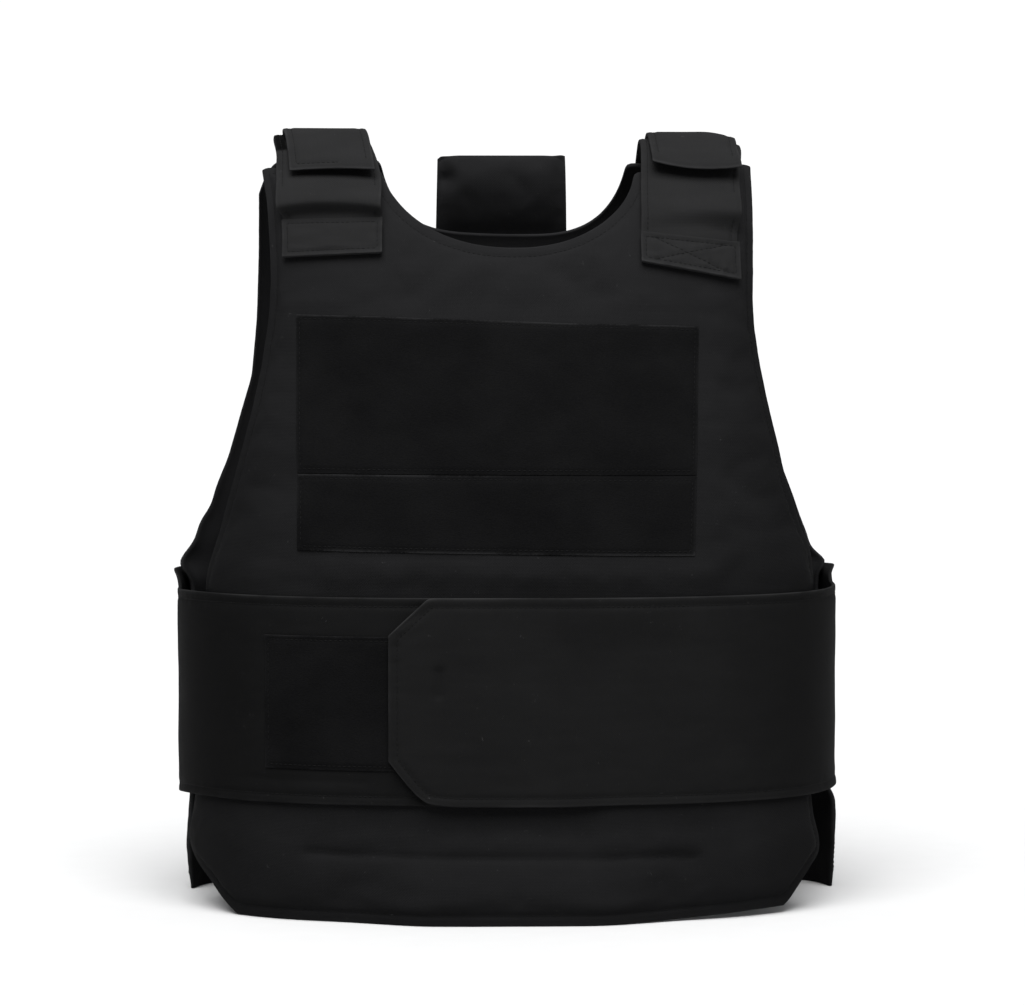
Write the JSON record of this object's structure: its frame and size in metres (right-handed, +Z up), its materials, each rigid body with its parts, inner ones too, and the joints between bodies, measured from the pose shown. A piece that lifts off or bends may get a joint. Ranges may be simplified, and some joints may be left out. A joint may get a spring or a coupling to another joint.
{
  "type": "tactical vest",
  "caption": "Black padded tactical vest that stands on its hems, with loop cloth on the chest, hook-and-loop shoulder straps, a neck tab and a wide wrap-over waist wing.",
  "frame": {"origin": "on the floor under the middle of the vest", "axes": "+Z up, the front of the vest faces -Y, and +X is to the right of a viewer who looks at the front, the wearer's left"},
  "size_m": [0.4666, 0.2747, 0.5407],
  "materials": {
    "panel_cloth": "matte black woven nylon over padding",
    "loop_cloth": "fuzzy dark loop cloth",
    "strap_cloth": "matte black nylon strap, a little greyer",
    "wing_cloth": "matte black smooth nylon"
  },
  "bodies": {
    "root": {"front_panel": "panel_cloth", "back_panel": "panel_cloth", "neck_tab": "panel_cloth", "chest_field_upper": "loop_cloth", "chest_field_lower": "loop_cloth", "waist_field": "loop_cloth", "shoulder_strap_left": "strap_cloth", "shoulder_strap_right": "strap_cloth", "strap_patch_left": "strap_cloth", "strap_patch_right": "strap_cloth", "shoulder_flap_left": "strap_cloth", "shoulder_flap_right": "strap_cloth", "waist_wing_left": "wing_cloth", "waist_wing_right": "wing_cloth"}
  },
  "joints": []
}
